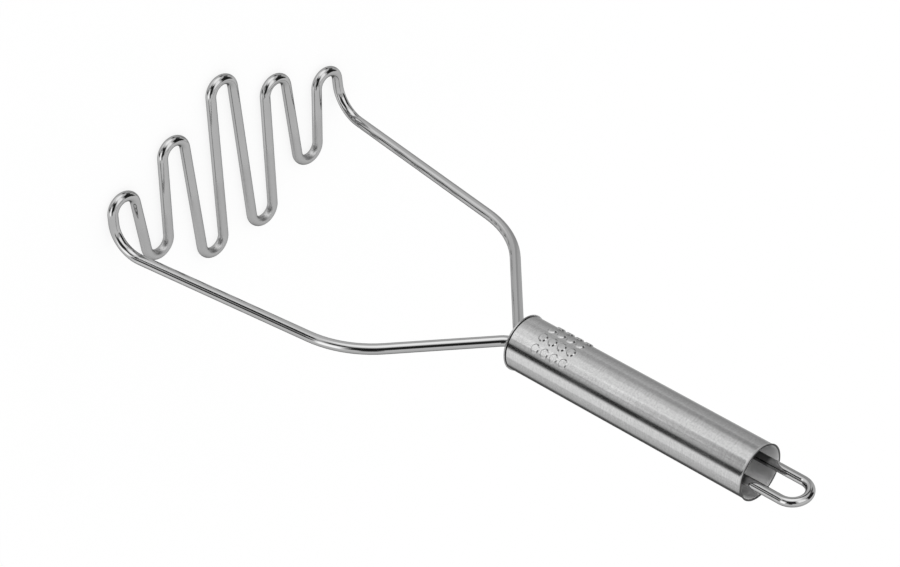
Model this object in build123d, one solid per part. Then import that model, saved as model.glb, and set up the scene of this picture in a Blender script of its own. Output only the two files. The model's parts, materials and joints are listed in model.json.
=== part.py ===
from build123d import *
from math import pi, sqrt
import os

# A wire potato masher with a tubular handle, in millimetres.
# It stands on its head. +Z runs up the handle's axis, X runs across the
# loops of the head and Y along their legs. The underside of the head is at
# z = 0 and the origin is on the handle's axis.

# The wire that is bent into the head and the two arms
wire_diameter = 4.0

# Head: a flat zigzag of five top bends and four bottom bends.
# Heights and depths are those of the bend centres from the handle's axis.
loop_pitch = 26.0
bend_radius = 5.5
outer_top_height = 17.0
inner_top_height = 27.5
middle_top_height = 41.0
outer_bottom_depth = 5.0
inner_bottom_depth = 19.5

# Heels: the corners where the head's outer legs turn up into the arms
heel_half_width = 58.0
heel_height = 2.5
heel_radius = 11.5

# Arms: from each heel to an elbow, then in to the neck, then up side by side
elbow_half_width = 44.5
elbow_level = 105.5
elbow_radius = 42.5
neck_gap = 0.4
neck_radius = 8.0
neck_bend_below_tube = 5.0
wire_length_in_tube = 22.0

# Handle: a thin tube, chamfered for its seam at the mouth, flared at its open end
tube_diameter = 20.5
tube_wall = 0.6
tube_length = 105.0
tube_level = 151.5
mouth_chamfer = 0.45
flare_rise = 0.3
flare_length = 1.0

# Raised dots, pressed out of the tube's wall in rows along the handle
dot_rows = 4
dots_in_row = 4
dot_diameter = 3.4
dot_rise = 0.4
dot_slope_width = 0.4
dot_spacing = 4.25
dot_row_angle = 27.5
first_dot_from_rim = 11.3
dots_centre_angle = 90.0

# Neck cap: a pressed plug in the tube's mouth. Its flange seats on the tube's
# end, and its plate inside the tube has a slot for the two wires.
cap_thickness = 0.8
cap_depth = 5.0
cap_lead_in = 0.5
cap_clearance = 0.05
flange_overhang = 0.4
flange_thickness = 0.6
flange_chamfer = 0.2
slot_clearance = 0.2

# Seam weld in the groove between the cap's flange and the tube's chamfer
seam_recess = 0.1

# Weld round the wires on the inside of the cap
neck_weld_width = 1.6
neck_weld_height = 2.4
neck_weld_chamfer_share = 0.8

# Hanging loop: a bent wire whose legs step out to the tube's wall inside
loop_wire_diameter = 3.4
loop_half_width = 6.0
loop_reach = 19.2
loop_straight_in_tube = 10.0
loop_step_length = 7.0
loop_step_radius = 5.0
loop_leg_on_wall = 14.0
loop_wall_gap = 0.1

# Weld beads that hold the loop's legs to the wall
loop_weld_diameter = 5.0
loop_weld_from_end = 5.0

# Derived places
wire_radius = wire_diameter / 2
tube_radius = tube_diameter / 2
tube_bore_radius = tube_radius - tube_wall
tube_top = tube_level + tube_length
loop_wire_radius = loop_wire_diameter / 2
flange_level = tube_level - flange_thickness
cap_top = tube_level + cap_depth
neck_half_spacing = (wire_diameter + neck_gap) / 2


def bend_centres():
    """The centres of the zigzag's bends, from left to right."""
    left_half = [
        outer_top_height,
        -outer_bottom_depth,
        inner_top_height,
        -inner_bottom_depth,
    ]
    heights = left_half + [middle_top_height] + left_half[::-1]
    middle = len(left_half)
    half_pitch = loop_pitch / 2
    return [
        Vector((index - middle) * half_pitch, height, wire_radius)
        for index, height in enumerate(heights)
    ]


def leg_between(start, start_radius, end, end_radius):
    """The leg that leaves one bend on its right and meets the next on its left."""
    across = end - start
    along = across.normalized()
    sideways = along.cross(Vector(0, 0, 1))
    if sideways.X < 0:
        sideways = -sideways
    lean = (start_radius + end_radius) / across.length
    normal = along * lean + sideways * sqrt(1 - lean**2)
    return start + normal * start_radius, end - normal * end_radius


def mirrored(point):
    return Vector(-point.X, point.Y, point.Z)


def arm_corners():
    """The arm's corners on the left, from the wire's end in the tube to the heel."""
    neck_level = tube_level - neck_bend_below_tube
    return [
        Vector(-neck_half_spacing, 0, tube_level + wire_length_in_tube),
        Vector(-neck_half_spacing, 0, neck_level),
        Vector(-elbow_half_width, 0, elbow_level),
        Vector(-heel_half_width, heel_height, wire_radius),
    ]


def masher_path():
    """The centre line of the whole wire, from one end to the other."""
    centres = bend_centres()
    corners = arm_corners()
    heel = corners[-1]
    first_leg = leg_between(heel, 0, centres[0], bend_radius)
    legs = [
        leg_between(start, bend_radius, end, bend_radius)
        for start, end in zip(centres[:-1], centres[1:])
    ]
    arm_radii = [neck_radius, elbow_radius, heel_radius]
    left_arm = FilletPolyline(*corners, first_leg[1], radius=arm_radii)
    right_corners = [mirrored(first_leg[1])] + [mirrored(corner) for corner in corners[::-1]]
    right_arm = FilletPolyline(*right_corners, radius=arm_radii[::-1])

    arrivals = [first_leg[1]] + [leg[1] for leg in legs]
    departures = [leg[0] for leg in legs] + [right_corners[0]]
    edges = list(left_arm.edges())
    for index, centre in enumerate(centres):
        is_top = index % 2 == 0
        crown = centre + Vector(0, bend_radius if is_top else -bend_radius, 0)
        edges.append(ThreePointArc(arrivals[index], crown, departures[index]))
        if index < len(legs):
            edges.append(Line(*legs[index]))
    edges += list(right_arm.edges())
    return Wire(edges)


def swept_wire(path, radius):
    """A round wire along a path, checked against its section times its length."""
    start_plane = Plane(origin=path @ 0, z_dir=path % 0)
    solid = sweep(start_plane * Circle(radius), path=path)
    expected = pi * radius**2 * path.length
    print(f"wire {path.length:.1f} mm long, volume {solid.volume / expected:.4f} of expected")
    return solid


def make_masher_wire():
    return swept_wire(masher_path(), wire_radius)


def tube_profile():
    """Half the tube's section: a chamfer at the mouth, a flare at the open end."""
    flare_foot = tube_length - flare_length
    outer_foot = (tube_radius, flare_foot)
    outer_rim = (tube_radius + flare_rise, tube_length)
    inner_rim = (tube_bore_radius + flare_rise, tube_length)
    inner_foot = (tube_bore_radius, flare_foot)
    mouth_corners = [
        inner_foot,
        (tube_bore_radius, 0),
        (tube_radius - mouth_chamfer, 0),
        (tube_radius, mouth_chamfer),
        outer_foot,
    ]
    outline = [
        Polyline(*mouth_corners),
        TangentArc(outer_foot, outer_rim, tangent=(0, 1)),
        Line(outer_rim, inner_rim),
        TangentArc(inner_foot, inner_rim, tangent=(0, 1)),
    ]
    return Plane.XZ * make_face(outline)


def tube_core(radius):
    """A solid rod as long as the tube and in its place."""
    return Pos(0, 0, tube_level + tube_length / 2) * Cylinder(radius, tube_length)


def dot_places():
    """A place on the handle's axis for each dot, with Z turned towards the dot."""
    places = []
    for row in range(dot_rows):
        angle = dots_centre_angle + (row - (dot_rows - 1) / 2) * dot_row_angle
        for number in range(dots_in_row):
            level = tube_level + first_dot_from_rim + number * dot_spacing
            places.append(Pos(0, 0, level) * Rot(0, 0, angle) * Rot(0, 90, 0))
    return places


def make_handle_tube():
    """The tube with its dots: tapered studs outside, with a punched hollow in each."""
    tube = Pos(0, 0, tube_level) * revolve(tube_profile(), axis=Axis.Z)
    root_depth = tube_wall / 2
    height = root_depth + dot_rise
    top_radius = dot_diameter / 2 - dot_slope_width
    root_radius = top_radius + dot_slope_width * height / dot_rise
    from_root = (Align.CENTER, Align.CENTER, Align.MIN)
    stud = Pos(0, 0, tube_radius - root_depth) * Cone(root_radius, top_radius, height, align=from_root)
    hollow = Pos(0, 0, tube_bore_radius - root_depth) * Cylinder(top_radius, height, align=from_root)
    skin = tube_core(tube_radius + dot_rise)
    raised = [(place * stud) & skin for place in dot_places()]
    return tube + raised - [place * hollow for place in dot_places()]


def wire_slot(margin, height):
    """A block with round ends about both wires, larger than them by a margin."""
    slot_width = wire_diameter + 2 * margin
    outline = SlotCenterToCenter(2 * neck_half_spacing, slot_width)
    return extrude(outline, height)


def make_neck_cap():
    """A plug pressed into the mouth: plate, skirt and flange, dished from below."""
    cap_radius = tube_bore_radius - cap_clearance
    plate_level = cap_top - cap_thickness
    plug = Pos(0, 0, flange_level) * extrude(Circle(cap_radius), cap_top - flange_level)
    plug = chamfer(plug.edges().group_by(Axis.Z)[-1], cap_lead_in)
    flange = Pos(0, 0, flange_level) * extrude(Circle(tube_radius + flange_overhang), flange_thickness)
    flange = chamfer(flange.edges().filter_by(GeomType.CIRCLE), flange_chamfer)
    dish = Pos(0, 0, flange_level) * extrude(Circle(cap_radius - cap_thickness), plate_level - flange_level)
    slot = Pos(0, 0, plate_level) * wire_slot(slot_clearance, cap_thickness)
    return plug + flange - dish - slot


def make_cap_seam():
    """The ring of weld that fills the groove, a little short of the tube's side."""
    inside = tube_radius - mouth_chamfer
    outside = tube_radius - seam_recess
    groove = Polyline((inside, 0), (outside, 0), (outside, outside - inside), close=True)
    return Pos(0, 0, tube_level) * revolve(Plane.XZ * make_face(groove), axis=Axis.Z)


def make_neck_weld():
    """The bead round both wires where they come through the cap."""
    bead = Pos(0, 0, cap_top) * wire_slot(neck_weld_width, neck_weld_height)
    bead_chamfer = neck_weld_chamfer_share * neck_weld_width
    bead = chamfer(bead.edges().group_by(Axis.Z)[-1], bead_chamfer)
    for side in (-1, 1):
        wire = Cylinder(wire_radius, neck_weld_height)
        bead -= Pos(side * neck_half_spacing, 0, cap_top + neck_weld_height / 2) * wire
    return bead


def loop_leg_distance():
    """How far the end of each leg lies from the handle's axis."""
    return tube_bore_radius - loop_wall_gap - loop_wire_radius


def loop_path():
    """The hanging loop's centre line: a half circle and two stepped legs."""
    bend_level = tube_top + loop_reach - loop_half_width
    step_top = tube_top - loop_straight_in_tube
    step_bottom = step_top - loop_step_length
    leg_end = step_bottom - loop_leg_on_wall
    wall_place = loop_leg_distance()
    left_leg = FilletPolyline(
        (-wall_place, 0, leg_end),
        (-wall_place, 0, step_bottom),
        (-loop_half_width, 0, step_top),
        (-loop_half_width, 0, bend_level),
        radius=loop_step_radius,
    )
    right_leg = FilletPolyline(
        (loop_half_width, 0, bend_level),
        (loop_half_width, 0, step_top),
        (wall_place, 0, step_bottom),
        (wall_place, 0, leg_end),
        radius=loop_step_radius,
    )
    crown = ThreePointArc(
        (-loop_half_width, 0, bend_level),
        (0, 0, tube_top + loop_reach),
        (loop_half_width, 0, bend_level),
    )
    return Wire(list(left_leg.edges()) + [crown] + list(right_leg.edges()))


def make_hanging_loop():
    return swept_wire(loop_path(), loop_wire_radius)


def make_loop_welds():
    """A bead on the tube's wall beside each leg of the loop."""
    leg_end = tube_top - loop_straight_in_tube - loop_step_length - loop_leg_on_wall
    weld_level = leg_end + loop_weld_from_end
    bore = tube_core(tube_bore_radius)
    beads = []
    for side in (-1, 1):
        ball = Pos(side * tube_bore_radius, 0, weld_level) * Sphere(loop_weld_diameter / 2)
        leg = Pos(side * loop_leg_distance(), 0, weld_level)
        leg = leg * Cylinder(loop_wire_radius, loop_weld_diameter)
        beads += ((ball & bore) - leg).solids()
    return Compound(beads)


makers = {
    "masher_wire": make_masher_wire,
    "handle_tube": make_handle_tube,
    "neck_cap": make_neck_cap,
    "neck_weld": make_neck_weld,
    "cap_seam": make_cap_seam,
    "hanging_loop": make_hanging_loop,
    "loop_welds": make_loop_welds,
}

os.makedirs("parts", exist_ok=True)
for name, make in makers.items():
    part = make()
    export_step(part, f"parts/{name}.step")
    print(f"{name}: {len(part.solids())} solids, {part.volume:.1f} mm3")
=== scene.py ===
"""Looks of the wire potato masher: metals, floor, studio light and camera."""

import json
import math

import bpy
from mathutils import Matrix, Vector


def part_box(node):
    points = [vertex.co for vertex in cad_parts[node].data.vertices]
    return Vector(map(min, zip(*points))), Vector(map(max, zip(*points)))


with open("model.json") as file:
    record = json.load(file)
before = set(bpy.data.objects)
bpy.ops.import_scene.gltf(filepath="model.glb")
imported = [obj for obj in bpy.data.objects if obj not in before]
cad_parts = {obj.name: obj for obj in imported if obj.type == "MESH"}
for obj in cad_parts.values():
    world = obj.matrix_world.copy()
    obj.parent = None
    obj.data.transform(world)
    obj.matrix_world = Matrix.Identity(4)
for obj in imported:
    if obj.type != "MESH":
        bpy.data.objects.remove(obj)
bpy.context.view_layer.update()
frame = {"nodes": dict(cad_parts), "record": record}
nodes = frame["nodes"]
mounts = {mount["name"]: mount for mount in frame["record"]["mounts"]}

MM = 0.001

# Places on the part. In a pair, the surface changes from the first to the second.
OPEN_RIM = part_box("handle_tube")[1][2]
TUBE_RADIUS = mounts["handle_grip"]["dims"]["r_mm"] * MM
CUT_RIM = (OPEN_RIM - 0.15 * MM, OPEN_RIM - 0.05 * MM)
# Heights where the loop's legs get a painted shade inside the tube
LEGS_PAINTED_SHADE_ABOVE = (OPEN_RIM - 40 * MM, OPEN_RIM - 30 * MM)
LEGS_PAINTED_SHADE_BELOW = (OPEN_RIM - 1.5 * MM, OPEN_RIM + 0.5 * MM)
HEAD_BELOW = (4 * MM, 9 * MM)
LOW_BENDS_BELOW = (2 * MM, 10 * MM)
WALL_OUTSIDE = (TUBE_RADIUS - 0.45 * MM, TUBE_RADIUS - 0.25 * MM)
DOT_SLOPE_RADIUS = TUBE_RADIUS + 0.2 * MM
DOT_SLOPE_HALF = 0.15 * MM
DOT_SLOPE_EDGE = 0.03 * MM

# How bright the wire and the tube reflect at a grazing angle
GRAZING_TINT = 0.55

# Polished wire. Tones are stops of a noise's value and the grey there.
HAZE_SCALE = 90.0
HAZE_DETAIL = 3.0
HAZE_TONES = [(0.2, 0.50), (0.8, 0.54)]
HAZE_ROUGHNESS = (0.05, 0.09)
LOW_BEND_ROUGHNESS = 0.32
# Painted shade of the loop's legs inside the tube
LEGS_PAINTED_SHADE_TONE = 0.14
PIT_SCALE = 2600.0
PIT_STRENGTH = 0.05
PIT_DEPTH = 0.1 * MM

# Brushed tube
RING_SCALE = (220.0, 220.0, 4500.0)
SPECK_SCALE = 1700.0
CLOUD_SCALE = 60.0
FINE_DETAIL = 4.0
BRUSHED_TONES = [(0.4, 0.50), (0.6, 0.60)]
BRUSHED_ROUGHNESS = (0.14, 0.18)
BRUSHED_STRENGTH = 0.06
BRUSHED_DEPTH = 0.05 * MM
BRUSHED_STRETCH = 0.8
QUARTER_TURN = 0.25
DOT_SLOPE_ROUGHNESS = 0.1
# Near-white tone of the tube's inside: painted light that brightens it
INSIDE_PAINTED_LIGHT_TONE = 0.97
INSIDE_ROUGHNESS = 0.5
CUT_RIM_TONE = 0.14
CUT_RIM_ROUGHNESS = 0.3

# Most values of a noise lie between these two
NOISE_LOW = 0.3
NOISE_HIGH = 0.7

# Pressed sheet and weld metal
DULL_STRENGTH = 0.3
DULL_DEPTH = 0.2 * MM

# Floor
FLOOR_RADIUS = 0.24
FLOOR_CORNERS = 96
FLOOR_TONE = 0.25
FLOOR_GLOW = 0.8

# The level of the world for all rays but those that the camera and the metals send
ROOM_LEVEL = 0.8

# The studio as the metals see it. Its table lies towards -Y, as if the masher
# lay on its side. Height is in degrees above the table's horizon, towards +Y.
# Turn is in degrees about Y, from +Z through +X. A card with a slant leans: its
# turn grows by that many degrees for each degree of height. Later cards cover
# earlier ones.
ZENITH = 90.0
HALF_TURN = 180.0
STUDIO_HEIGHTS = [
    # height, level
    (-90, 0.55),
    (-60, 0.70),
    (-35, 0.80),
    (-7, 0.88),
    (0, 0.66),
    (40, 0.74),
    (62, 0.80),
    (71, 1.45),
    (90, 1.60),
]
STUDIO_CARDS = [
    # name, first turn, last turn, lowest, highest, level, soft edge, slant
    ("white table on the left", -136, -119, -33, -6, 1.15, 2, 0.2),
    ("shade under the handle", -246, -170, -85, -43, 0.15, 9, 0),
    ("white panel behind on the left", -190, -124, 34, 66, 1.08, 9, 0),
    ("brighter part of that panel", -146, -132, 33, 52, 1.7, 2, -0.9),
    ("grey card low on the left", -119, -113, -2, 29, 0.24, 2, 0),
    ("black card along the horizon", -142, -104, 0, 16, 0.02, 3.5, 0),
    ("black strip over the left arm", -132.5, -114, 32, 54, 0.02, 1, -0.9),
    ("black strip over its bend", -110, -86, 43, 57, 0.12, 3, 0),
    ("black card over the white one", -100, -74, 36, 52, 0.02, 3, 0),
    ("white card on the left", -104, -81, -16, 24, 1.75, 4, 0),
    ("black card on the left", -76, -31, 2, 53, 0.02, 3.5, 0),
    ("foot of the black card", -66, -49, -15, 6, 0.05, 4, 0),
    ("white panel in front", -20, 18, 12, 62, 1.45, 5, 0),
    ("black card on the right", 27, 68, -9, 43, 0.02, 3, 0),
    ("dark end of that card", 66, 95, 22, 45, 0.12, 3, 0),
    ("black card high on the right", 99, 130, 42, 57, 0.03, 3, 0),
    ("dark strip far on the right", 104, 124, -12, 38, 0.52, 4, 0),
    ("top of the dark strip", 124, 137, 36, 55, 0.40, 3, 0.9),
]


class Graph:
    """Builds a node tree in code."""

    def __init__(self, tree):
        self.tree = tree
        tree.nodes.clear()

    def connect(self, value, socket):
        if isinstance(value, bpy.types.NodeSocket):
            self.tree.links.new(value, socket)
        else:
            socket.default_value = value

    def add(self, kind, inputs=None, **settings):
        node = self.tree.nodes.new(kind)
        for name, value in settings.items():
            setattr(node, name, value)
        for name, value in (inputs or {}).items():
            self.connect(value, node.inputs[name])
        return node

    def math(self, operation, first, second=0.0, third=0.0):
        inputs = {0: first, 1: second, 2: third}
        return self.add("ShaderNodeMath", inputs, operation=operation).outputs[0]

    def mix(self, factor, first, second, label=""):
        """A colour between two, where the sockets 0, 6 and 7 are factor, A and B."""
        sockets = {0: factor, 6: first, 7: second}
        node = self.add("ShaderNodeMix", sockets, data_type="RGBA", label=label)
        return node.outputs[2]

    def ramp(self, factor, stops):
        node = self.add("ShaderNodeValToRGB", {"Fac": factor})
        elements = node.color_ramp.elements
        elements.remove(elements[1])
        elements[0].position = stops[0][0]
        elements[0].color = grey(stops[0][1])
        for place, level in stops[1:]:
            elements.new(place).color = grey(level)
        return node.outputs["Color"]

    def smooth(self, value, low, high, out_low=0.0, out_high=1.0):
        sizes = {
            "Value": value,
            "From Min": low,
            "From Max": high,
            "To Min": out_low,
            "To Max": out_high,
        }
        node = self.add("ShaderNodeMapRange", sizes, interpolation_type="SMOOTHSTEP")
        return node.outputs["Result"]

    def within(self, distance, half, edge):
        """One up to half a width from the middle, zero beyond it, with a soft edge."""
        return self.smooth(self.math("ABSOLUTE", distance), half - edge, half + edge, 1.0, 0.0)

    def noise(self, vector, scale, detail=2.0):
        sizes = {"Vector": vector, "Scale": scale, "Detail": detail}
        return self.add("ShaderNodeTexNoise", sizes).outputs["Fac"]

    def bump(self, height, strength, distance):
        sizes = {"Height": height, "Strength": strength, "Distance": distance}
        return self.add("ShaderNodeBump", sizes).outputs["Normal"]

    def object_place(self):
        return self.add("ShaderNodeTexCoord").outputs["Object"]

    def along_axes(self, vector):
        return self.add("ShaderNodeSeparateXYZ", {0: vector}).outputs

    def metal(self, **inputs):
        names = {name.replace("_", " "): value for name, value in inputs.items()}
        surface = self.add("ShaderNodeBsdfPrincipled", {"Metallic": 1.0} | names)
        self.add("ShaderNodeOutputMaterial", {"Surface": surface.outputs[0]})


def grey(level):
    return (level, level, level, 1.0)


def new_material(name):
    material = bpy.data.materials.new(name)
    material.use_nodes = True
    return material, Graph(material.node_tree)


def polished_wire():
    """Mirror polished stainless wire with patches of haze and faint pits.

    The loop's legs get a painted shade inside the tube, and the head's low bends are hazier.
    """
    material, graph = new_material("polished_wire")
    place = graph.object_place()
    parts = graph.along_axes(place)
    # Mask of the painted shade on the loop's legs inside the tube
    legs = graph.math(
        "MULTIPLY",
        graph.smooth(parts["Z"], *LEGS_PAINTED_SHADE_ABOVE),
        graph.smooth(parts["Z"], *LEGS_PAINTED_SHADE_BELOW, 1.0, 0.0),
    )
    low_bends = graph.math(
        "MULTIPLY",
        graph.smooth(parts["Z"], *HEAD_BELOW, LOW_BEND_ROUGHNESS, 0.0),
        graph.smooth(parts["Y"], *LOW_BENDS_BELOW, 1.0, 0.0),
    )
    haze = graph.noise(place, HAZE_SCALE, HAZE_DETAIL)
    haze_roughness = graph.smooth(haze, NOISE_LOW, NOISE_HIGH, *HAZE_ROUGHNESS)
    graph.metal(
        # Base colour: the hazy grey, with the painted shade on the legs inside the tube
        Base_Color=graph.mix(legs, graph.ramp(haze, HAZE_TONES), grey(LEGS_PAINTED_SHADE_TONE)),
        Roughness=graph.math("ADD", haze_roughness, low_bends),
        Normal=graph.bump(graph.noise(place, PIT_SCALE), PIT_STRENGTH, PIT_DEPTH),
        Specular_Tint=grey(GRAZING_TINT),
    )
    return material


def brushed_tube():
    """Satin stainless tube, brushed round its axis.

    Its inside is a dull drawn surface with a near-white tone, painted light that brightens the
    inside of the tube, and the cut rim at its open end is darker.
    """
    material, graph = new_material("brushed_tube")
    place = graph.object_place()
    parts = graph.along_axes(place)
    rings = graph.add("ShaderNodeMapping", {"Vector": place, "Scale": RING_SCALE})
    grain = graph.noise(rings.outputs[0], 1.0, FINE_DETAIL)
    speck = graph.noise(place, SPECK_SCALE, FINE_DETAIL)
    texture = graph.math("MULTIPLY", graph.math("ADD", grain, speck), 0.5)

    squares = [graph.math("POWER", parts[axis], 2.0) for axis in "XY"]
    radius = graph.math("SQRT", graph.math("ADD", *squares))
    outside = graph.smooth(radius, *WALL_OUTSIDE)
    cut_rim = graph.smooth(parts["Z"], *CUT_RIM)
    from_slope = graph.math("SUBTRACT", radius, DOT_SLOPE_RADIUS)
    slope = graph.within(from_slope, DOT_SLOPE_HALF, DOT_SLOPE_EDGE)

    # Brushed grain outside; inside, the near-white tone of painted light
    grain_and_inside_painted_light = graph.mix(outside, grey(INSIDE_PAINTED_LIGHT_TONE), graph.ramp(texture, BRUSHED_TONES))
    cloud = graph.noise(place, CLOUD_SCALE)
    roughness = graph.smooth(cloud, NOISE_LOW, NOISE_HIGH, *BRUSHED_ROUGHNESS)
    for extra in (
        graph.math("MULTIPLY", slope, DOT_SLOPE_ROUGHNESS),
        graph.smooth(radius, *WALL_OUTSIDE, INSIDE_ROUGHNESS, 0.0),
        graph.math("MULTIPLY", cut_rim, CUT_RIM_ROUGHNESS),
    ):
        roughness = graph.math("ADD", roughness, extra)
    tangent = graph.add("ShaderNodeTangent", direction_type="RADIAL", axis="Z")
    graph.metal(
        Base_Color=graph.mix(cut_rim, grain_and_inside_painted_light, grey(CUT_RIM_TONE)),
        Roughness=roughness,
        Anisotropic=BRUSHED_STRETCH,
        Anisotropic_Rotation=QUARTER_TURN,
        Specular_Tint=grey(GRAZING_TINT),
        Normal=graph.bump(texture, BRUSHED_STRENGTH, BRUSHED_DEPTH),
        Tangent=tangent.outputs[0],
    )
    return material


def dull_metal(name, dark, light, scale, roughness):
    """Plain pressed sheet or weld metal."""
    material, graph = new_material(name)
    noise = graph.noise(graph.object_place(), scale, FINE_DETAIL)
    graph.metal(
        Base_Color=graph.ramp(noise, [(NOISE_LOW, dark), (NOISE_HIGH, light)]),
        Roughness=roughness,
        Normal=graph.bump(noise, DULL_STRENGTH, DULL_DEPTH),
    )
    return material


def dress_nodes():
    metals = {
        "polished_wire": polished_wire(),
        "brushed_tube": brushed_tube(),
        "pressed_cap": dull_metal(
            "pressed_cap", dark=0.42, light=0.56, scale=900.0, roughness=0.35
        ),
        # The seam is a real joint between the tube and the cap's flange; its near-black tone is
        # painted shade of that crease.
        "weld_metal": dull_metal(
            "weld_metal", dark=0.01, light=0.03, scale=1500.0, roughness=0.6
        ),
    }
    for subpart in frame["record"]["subparts"]:
        materials = nodes[subpart["node"]].data.materials
        materials.clear()
        materials.append(metals[subpart["material_slot"]])


def make_floor():
    """A white disc that keeps a faint shadow. The metals see the studio in its place."""
    angles = [2 * math.pi * step / FLOOR_CORNERS for step in range(FLOOR_CORNERS)]
    rim = [(FLOOR_RADIUS * math.cos(angle), FLOOR_RADIUS * math.sin(angle), 0) for angle in angles]
    mesh = bpy.data.meshes.new("floor")
    mesh.from_pydata(rim, [], [tuple(range(FLOOR_CORNERS))])
    floor = bpy.data.objects.new("floor", mesh)
    floor.visible_glossy = False
    bpy.context.scene.collection.objects.link(floor)

    material, graph = new_material("floor_white")
    paths = graph.add("ShaderNodeLightPath").outputs
    clear = graph.math("MAXIMUM", paths["Is Camera Ray"], paths["Is Transmission Ray"])
    cloth = graph.add("ShaderNodeBsdfDiffuse", {"Color": grey(FLOOR_TONE)})
    strength = graph.math("MULTIPLY", clear, FLOOR_GLOW)
    glow = graph.add("ShaderNodeEmission", {"Strength": strength})
    surface = graph.add("ShaderNodeAddShader", {0: cloth.outputs[0], 1: glow.outputs[0]})
    graph.add("ShaderNodeOutputMaterial", {"Surface": surface.outputs[0]})
    mesh.materials.append(material)


def make_world():
    """Plain white for the camera, and the studio for the metals."""
    world = bpy.data.worlds.new("studio")
    bpy.context.scene.world = world
    world.use_nodes = True
    graph = Graph(world.node_tree)
    direction = graph.add("ShaderNodeTexCoord").outputs["Generated"]
    parts = graph.along_axes(direction)
    height = graph.math("DEGREES", graph.math("ARCSINE", parts["Y"]))
    turn = graph.math("DEGREES", graph.math("ARCTAN2", parts["X"], parts["Z"]))

    share_of_height = graph.math("DIVIDE", graph.math("ADD", height, ZENITH), HALF_TURN)
    stops = [((place + ZENITH) / HALF_TURN, level) for place, level in STUDIO_HEIGHTS]
    room = graph.ramp(share_of_height, stops)
    for name, first, last, lowest, highest, level, edge, slant in STUDIO_CARDS:
        above = graph.math("SUBTRACT", height, (lowest + highest) / 2)
        middle = graph.math("ADD", graph.math("MULTIPLY", above, slant), (first + last) / 2)
        beside = graph.math("WRAP", graph.math("SUBTRACT", turn, middle), HALF_TURN, -HALF_TURN)
        across = graph.within(beside, (last - first) / 2, edge)
        upward = graph.within(above, (highest - lowest) / 2, edge)
        room = graph.mix(graph.math("MULTIPLY", across, upward), room, grey(level), label=name)

    paths = graph.add("ShaderNodeLightPath").outputs
    plain = graph.mix(paths["Is Glossy Ray"], grey(ROOM_LEVEL), room)
    white = graph.math("MAXIMUM", paths["Is Camera Ray"], paths["Is Transmission Ray"])
    colour = graph.mix(white, plain, grey(1.0))
    back = graph.add("ShaderNodeBackground", {"Color": colour, "Strength": 1.0})
    graph.add("ShaderNodeOutputWorld", {"Surface": back.outputs[0]})


def make_camera():
    """The photograph's camera, above and to the left of the handle, turned on its side."""
    data = bpy.data.cameras.new("camera")
    camera = bpy.data.objects.new("camera", data)
    bpy.context.scene.collection.objects.link(camera)
    data.sensor_fit = "HORIZONTAL"
    data.sensor_width = 36.0
    data.lens = 119.93
    data.clip_start = 0.01
    right = Vector((0.68752, -0.05207, 0.72430))
    up = Vector((0.47561, 0.78602, -0.39494))
    back = right.cross(up).normalized()
    up = back.cross(right).normalized()
    place = Vector((-0.58283, 0.66289, 0.71622))
    turn = Matrix((right, up, back)).transposed().to_4x4()
    camera.matrix_world = Matrix.Translation(place) @ turn
    bpy.context.scene.camera = camera


dress_nodes()
make_floor()
make_world()
make_camera()
bpy.context.scene.view_settings.view_transform = "Standard"
